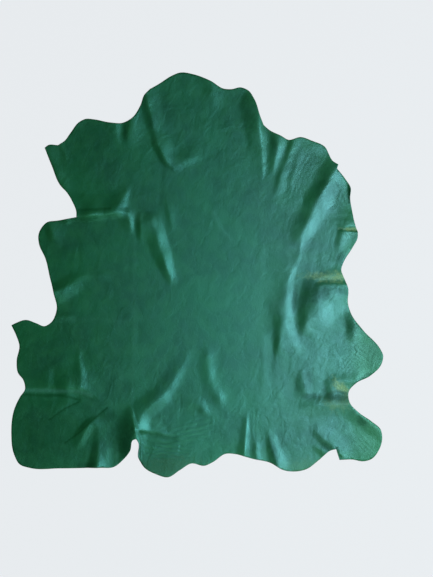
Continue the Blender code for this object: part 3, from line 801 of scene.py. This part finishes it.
def hide_mesh(name):
    """The closed sheet: grain side, flesh side and the cut edge, with a material slot for each."""
    flat, triangles, rim_count = sheet_net()
    triangles = facing_up(flat, triangles)
    x, y = flat.T
    rim = flat[:rim_count]
    flesh = np.column_stack([flat, relief(x, y)])
    normals = corner_normals(flesh, triangles)
    grain = flesh + normals * (THICKNESS + grain_detail(x, y))[:, None]
    grain[:rim_count, :2] += inward(rim) * EDGE_INSET
    edge = flesh[:rim_count] + normals[:rim_count] * THICKNESS * EDGE_SHARE
    points = np.vstack([grain, flesh, edge]) * METRES_PER_MM
    faces, slots = sheet_faces(triangles, len(flat), rim_count)
    mesh = bpy.data.meshes.new(name)
    mesh.from_pydata(points.tolist(), [], faces)
    mesh.polygons.foreach_set("material_index", slots)
    for mark, values in sheet_marks(flat, flesh[:, 2], rim).items():
        layer = mesh.attributes.new(mark, "FLOAT", "POINT")
        everywhere = np.pad(values, (0, len(points) - len(values)))
        layer.data.foreach_set("value", everywhere.astype(np.float32))
    mesh.shade_smooth()
    mesh.validate()
    return mesh


class Tree:
    """One material's node tree, built a node at a time. Lengths inside it are metres."""

    def __init__(self, name):
        self.material = bpy.data.materials.new(name)
        self.material.use_nodes = True
        self.nodes = self.material.node_tree.nodes
        self.links = self.material.node_tree.links
        self.shader = self.nodes["Principled BSDF"]
        self.place = self.add("ShaderNodeTexCoord").outputs["Object"]

    def add(self, kind, inputs=(), **settings):
        """A new node with the given settings. Inputs are pairs of a socket and its value or source."""
        node = self.nodes.new(kind)
        for key, value in settings.items():
            setattr(node, key, value)
        for socket, value in inputs:
            self.set(node.inputs[socket], value)
        return node

    def set(self, socket, value):
        """Links the socket to its source, or gives it a fixed value."""
        if isinstance(value, bpy.types.NodeSocket):
            self.links.new(value, socket)
        else:
            socket.default_value = value

    def shade(self, **values):
        """Sets the shader's sockets; in their names an underscore stands for a space."""
        for name, value in values.items():
            self.set(self.shader.inputs[name.replace("_", " ")], value)

    def moved(self, middle, size, turn):
        """Places counted from middle in mm, along axes turned by turn degrees, in units of size mm."""
        return self.add("ShaderNodeMapping", [
            ("Vector", self.place), ("Location", [c * METRES_PER_MM for c in (*middle, 0.0)]),
            ("Rotation", (0.0, 0.0, math.radians(turn))), ("Scale", [c * METRES_PER_MM for c in size])],
            vector_type="TEXTURE").outputs["Vector"]

    def noise(self, size, detail=2.0, stretch=(1.0, 1.0, 1.0), turn=0.0, swirl=0.0):
        """Cloudy noise from 0 to 1 in swells about size mm across, which stretch makes longer."""
        moved = self.moved((0.0, 0.0), [size * share for share in stretch], turn)
        node = self.add("ShaderNodeTexNoise", [
            ("Vector", moved), ("Scale", 1.0), ("Detail", detail), ("Roughness", 0.55),
            ("Distortion", swirl)])
        return node.outputs["Fac"]

    def cells(self, size, stretch=(1.0, 1.0, 1.0), turn=0.0):
        """Distance from the rim of the nearest pebble, for pebbles about size mm across."""
        moved = self.moved((0.0, 0.0), [size * share for share in stretch], turn)
        node = self.add(
            "ShaderNodeTexVoronoi", [("Vector", moved), ("Scale", 1.0)], feature="DISTANCE_TO_EDGE")
        return node.outputs["Distance"]

    def ramp(self, value, low, high, to_low=0.0, to_high=1.0):
        """value eased from the range low to high onto the range to_low to to_high."""
        node = self.add("ShaderNodeMapRange", [
            ("Value", value), ("From Min", low), ("From Max", high),
            ("To Min", to_low), ("To Max", to_high)], interpolation_type="SMOOTHSTEP")
        return node.outputs["Result"]

    def maths(self, operation, first, second=0.0):
        """The result of one sum on one or two numbers."""
        node = self.add("ShaderNodeMath", [(0, first), (1, second)], operation=operation)
        return node.outputs["Value"]

    def times(self, first, *others):
        """The product of the given numbers."""
        for other in others:
            first = self.maths("MULTIPLY", first, other)
        return first

    def mix(self, share, under, over):
        """The colour over laid on the colour under by the given share."""
        node = self.add("ShaderNodeMix", [
            ("Factor", share), (MIX_UNDER, under), (MIX_OVER, over)], data_type="RGBA")
        return node.outputs[MIX_RESULT]

    def mark(self, name):
        """One of the marks stored on the mesh."""
        return self.add("ShaderNodeAttribute", attribute_name=name).outputs["Fac"]

    def bump(self, height, depth, after=None):
        """Shading as if the surface rose by depth mm where height is 1."""
        inputs = [("Height", height), ("Distance", depth * METRES_PER_MM), ("Strength", 1.0)]
        if after is not None:
            inputs.append(("Normal", after))
        return self.add("ShaderNodeBump", inputs).outputs["Normal"]


def patch_mask(tree, patch, raggedness):
    """Where a patch lies: its strength in its middle, broken up towards its rim."""
    spot = tree.moved(patch.middle, (*patch.half_size, PATCH_DEPTH), patch.turn)
    away = tree.add("ShaderNodeVectorMath", [(0, spot)], operation="LENGTH").outputs["Value"]
    broken = tree.ramp(tree.noise(RAGGED_SIZE, 4.0), 0.2, 0.8, -raggedness, raggedness)
    return tree.ramp(tree.maths("ADD", away, broken), PATCH_END, PATCH_FULL, 0.0, patch.strength)


def any_patch(tree, patches, raggedness):
    """Where any of the patches lies."""
    share = 0.0
    for patch in patches:
        share = tree.maths("MAXIMUM", share, patch_mask(tree, patch, raggedness))
    return share


class Grain:
    """Masks of the grain's worn and stained places, its painted shade and painted highlight, and metres
    across the hide from its middle.
    """

    def __init__(self, tree):
        self.across = tree.add("ShaderNodeSeparateXYZ", [("Vector", tree.place)]).outputs["X"]
        self.stained = any_patch(tree, STAINS, STAIN_RAGGED)
        self.painted_shade = any_patch(tree, PAINTED_SHADES, PAINTED_LIGHT_RAGGED)
        self.glossy = any_patch(tree, PAINTED_HIGHLIGHTS, PAINTED_LIGHT_RAGGED)
        self.handled = tree.times(
            tree.mark("rim"), tree.ramp(tree.noise(38.0, 4.0), 0.30, 0.62, 0.1, 0.9),
            tree.ramp(self.across, -0.15, 0.20, 0.3, 1.0))
        self.cracks = tree.ramp(tree.cells(5.0, stretch=(0.6, 1.6, 1.0), turn=20), 0.02, 0.16)
        self.pebbles = tree.ramp(tree.cells(1.5), 0.0, 0.3)


def grain_colour(tree, grain):
    """Cloudy dye, paler at the handled rim and darker in pores, with painted highlight on crests, ridge
    lines and wrinkle tops, and painted shade in valleys, grooves, wrinkle troughs and patches.
    """
    cloudy = tree.ramp(tree.noise(110.0, 3.0), 0.3, 0.7)
    patchy = tree.ramp(tree.noise(26.0, 5.0), 0.35, 0.75)
    wrinkle_shading = tree.mark("wrinkle_shading")
    cracked = tree.maths("MAXIMUM", grain.cracks, 0.66)
    pores = tree.maths("SUBTRACT", 1.0, grain.pebbles)
    colour = tree.mix(cloudy, DEEP_GREEN, MID_GREEN)
    layers = (
        (tree.times(patchy, 0.45), PALE_GREEN),
        # painted highlight on crests
        (tree.times(tree.mark("crest"), 0.4), PALE_GREEN),
        # painted shading of the wrinkles: paler tops, darker troughs
        (tree.ramp(wrinkle_shading, 0.5, 1.0, 0.0, 0.5), PALE_GREEN),
        (tree.ramp(wrinkle_shading, 0.5, 0.0, 0.0, 0.5), DEEP_GREEN),
        (grain.handled, WORN_AND_HIGHLIGHT_GREEN),
        # painted shade in valleys
        (tree.times(tree.mark("valley_shade"), 0.5), DEEP_GREEN),
        # painted shade in grooves, painted highlight on ridge lines
        (tree.times(tree.mark("groove"), 0.5), GROOVE_SHADE_GREEN),
        (tree.times(tree.mark("lip"), 0.5), RIDGE_HIGHLIGHT_GREEN),
        (tree.times(grain.stained, cracked), STAIN_YELLOW),
        # painted shade patches
        (grain.painted_shade, PAINTED_SHADE_GREEN),
        # painted highlight patches, painted paler
        (tree.times(grain.glossy, 0.5), WORN_AND_HIGHLIGHT_GREEN),
        (tree.times(pores, 0.3), DEEP_GREEN),
    )
    for share, layer in layers:
        colour = tree.mix(share, colour, layer)
    return colour


def grain_polish(tree, grain):
    """How strongly the grain shines: least at the left rim, in valleys and grooves and under the painted
    shade patches; most under the painted highlight patches.
    """
    return tree.times(
        tree.ramp(grain.across, -0.42, -0.02, 0.46, 1.0),
        tree.ramp(grain.across, 0.12, 0.30, 1.0, 0.92),
        tree.ramp(grain.across, 0.30, 0.41, 1.0, 0.76),
        tree.ramp(grain.handled, 0.0, 1.0, 1.0, 0.72),
        tree.ramp(tree.mark("valley_shade"), 0.0, 1.0, 1.0, 0.6),
        tree.ramp(tree.mark("groove"), 0.0, 1.0, 1.0, 0.25),
        # less sheen under the painted shade patches, more under the painted highlight patches
        tree.ramp(grain.painted_shade, 0.0, 1.0, 1.0, 0.45),
        tree.ramp(grain.glossy, 0.0, 1.0, 1.0, 1.7))


def grain_tint(tree, grain):
    """The sheen's colour, from teal in the middle to blue on the right flank and green at its rim."""
    tint = tree.mix(tree.ramp(grain.across, 0.02, 0.28), SHEEN_TEAL, SHEEN_BLUE)
    return tree.mix(tree.ramp(grain.across, 0.31, 0.40), tint, SHEEN_GREEN)


def grain_relief(tree, grain):
    """Swirling fibre lines, faint creases, fine grain, cracks in the stained finish, and pebbles."""
    lively = tree.ramp(tree.mark("lively"), 0.0, 1.0, 0.45, 1.0)
    fibres = tree.noise(24.0, 1.6, stretch=(1.0, 1.6, 1.0), turn=-22, swirl=0.9)
    middle_line = tree.maths("ABSOLUTE", tree.maths("SUBTRACT", tree.noise(26.0, 4.0), 0.5))
    fine = tree.noise(9.5, 1.5, stretch=(1.0, 1.5, 1.0), turn=20, swirl=0.7)
    normal = tree.bump(tree.times(lively, fibres), 0.82)
    normal = tree.bump(tree.ramp(middle_line, 0.0, 0.05), 0.045, normal)
    normal = tree.bump(tree.times(lively, fine), 0.12, normal)
    normal = tree.bump(tree.times(grain.cracks, grain.stained), 0.15, normal)
    return tree.bump(grain.pebbles, 0.015, normal)


def grain_material():
    """Dyed full grain: pebbled and finely creased, with a teal sheen, yellowed worn places, and painted
    shade and highlight.
    """
    tree = Tree("green_grain")
    grain = Grain(tree)
    dull = tree.times(grain.stained, 0.2)
    tree.shade(
        Base_Color=grain_colour(tree, grain),
        Roughness=tree.maths("ADD", tree.ramp(tree.noise(34.0, 5.0), 0.3, 0.7, 0.41, 0.47), dull),
        Specular_IOR_Level=grain_polish(tree, grain),
        Specular_Tint=grain_tint(tree, grain),
        Normal=grain_relief(tree, grain))
    return tree.material


def flesh_material():
    """Suede: short fibres, paler than the grain and without any gloss."""
    tree = Tree("green_suede")
    nap = tree.noise(3.0, 6.0, stretch=(1.0, 2.5, 1.0), turn=15)
    colour = tree.mix(tree.ramp(nap, 0.3, 0.7), SUEDE_DARK, SUEDE_PALE)
    colour = tree.mix(tree.ramp(tree.noise(60.0, 4.0), 0.35, 0.7, 0.0, 0.5), colour, SUEDE_MID)
    tree.shade(
        Base_Color=colour, Normal=tree.bump(nap, 0.25), Roughness=0.95, Specular_IOR_Level=0.1,
        Sheen_Weight=0.25, Sheen_Roughness=0.5)
    return tree.material


def edge_material():
    """The knife's cut through dyed fibres."""
    tree = Tree("cut_edge")
    fibres = tree.noise(0.8, 4.0, stretch=(1.0, 1.0, 0.4))
    tree.shade(
        Base_Color=tree.mix(tree.ramp(fibres, 0.3, 0.7), CUT_DARK, CUT_PALE),
        Normal=tree.bump(fibres, 0.08), Roughness=0.85, Specular_IOR_Level=0.2)
    return tree.material


def floor_material():
    """Plain and matt. Its brightness is nearly all its own glow, so it is even everywhere."""
    tree = Tree("pale_floor")
    tree.shade(
        Base_Color=FLOOR_GREY, Roughness=0.9, Specular_IOR_Level=0.0, Emission_Color=FLOOR_GLOW,
        Emission_Strength=1.0)
    return tree.material


def add_object(name, data):
    """A new object in the scene."""
    thing = bpy.data.objects.new(name, data)
    bpy.context.scene.collection.objects.link(thing)
    return thing


def build_hide():
    """The sheet, in the CAD node's place."""
    hide = add_object("leather_hide", hide_mesh("leather_hide"))
    for material in (grain_material(), flesh_material(), edge_material()):
        hide.data.materials.append(material)
    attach(hide, "root")
    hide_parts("hide")


def build_floor():
    """One wide flat square."""
    mesh = bpy.data.meshes.new("floor")
    signs = ((-1, -1), (1, -1), (1, 1), (-1, 1))
    mesh.from_pydata([(x * FLOOR_REACH, y * FLOOR_REACH, 0) for x, y in signs], [], [(0, 1, 2, 3)])
    mesh.materials.append(floor_material())
    add_object("floor", mesh)


class Lamp(NamedTuple):
    """A soft rectangular light: where it is, what it faces, its sides in metres, watts and colour."""

    name: str
    place: tuple
    aim: tuple
    size: tuple
    power: float
    colour: tuple


LAMPS = (
    Lamp("window", (1.90, -0.50, 0.80), (0.1, 0, 0), (1.2, 0.6), 26, (0.66, 0.93, 1.0)),
    Lamp("softbox", (1.05, -0.27, 1.90), (0.1, 0, 0), (0.8, 0.8), 46, (0.66, 0.95, 1.0)),
    Lamp("lower softbox", (0.10, -1.35, 1.70), (0, -0.2, 0), (0.8, 0.6), 7, (0.66, 1.0, 0.75)),
    Lamp("fill", (-1.6, -0.3, 1.6), (0, 0, 0), (2.0, 2.0), 0.8, (0.7, 1.0, 0.6)),
)


def build_lights():
    """The lamps, and a faint even light from all round."""
    for lamp in LAMPS:
        data = bpy.data.lights.new(lamp.name, "AREA")
        data.shape = "RECTANGLE"
        data.size, data.size_y = lamp.size
        data.energy = lamp.power
        data.color = lamp.colour
        light = add_object(lamp.name, data)
        light.location = lamp.place
        towards = Vector(lamp.aim) - Vector(lamp.place)
        light.rotation_euler = towards.to_track_quat("-Z", "Y").to_euler()
    world = bpy.data.worlds.new("room")
    bpy.context.scene.world = world
    world.use_nodes = True
    background = world.node_tree.nodes["Background"]
    background.inputs["Color"].default_value = (1.0, 1.0, 1.0, 1.0)
    background.inputs["Strength"].default_value = ROOM_LIGHT


def build_camera():
    """Straight above the hide, with PICTURE_LENGTH of floor in the picture."""
    data = bpy.data.cameras.new("camera")
    data.lens = SENSOR_MM * CAMERA_PLACE[2] / PICTURE_LENGTH
    camera = add_object("camera", data)
    camera.location = CAMERA_PLACE
    bpy.context.scene.camera = camera


bpy.context.scene.view_settings.view_transform = "Standard"
build_hide()
build_floor()
build_lights()
build_camera()
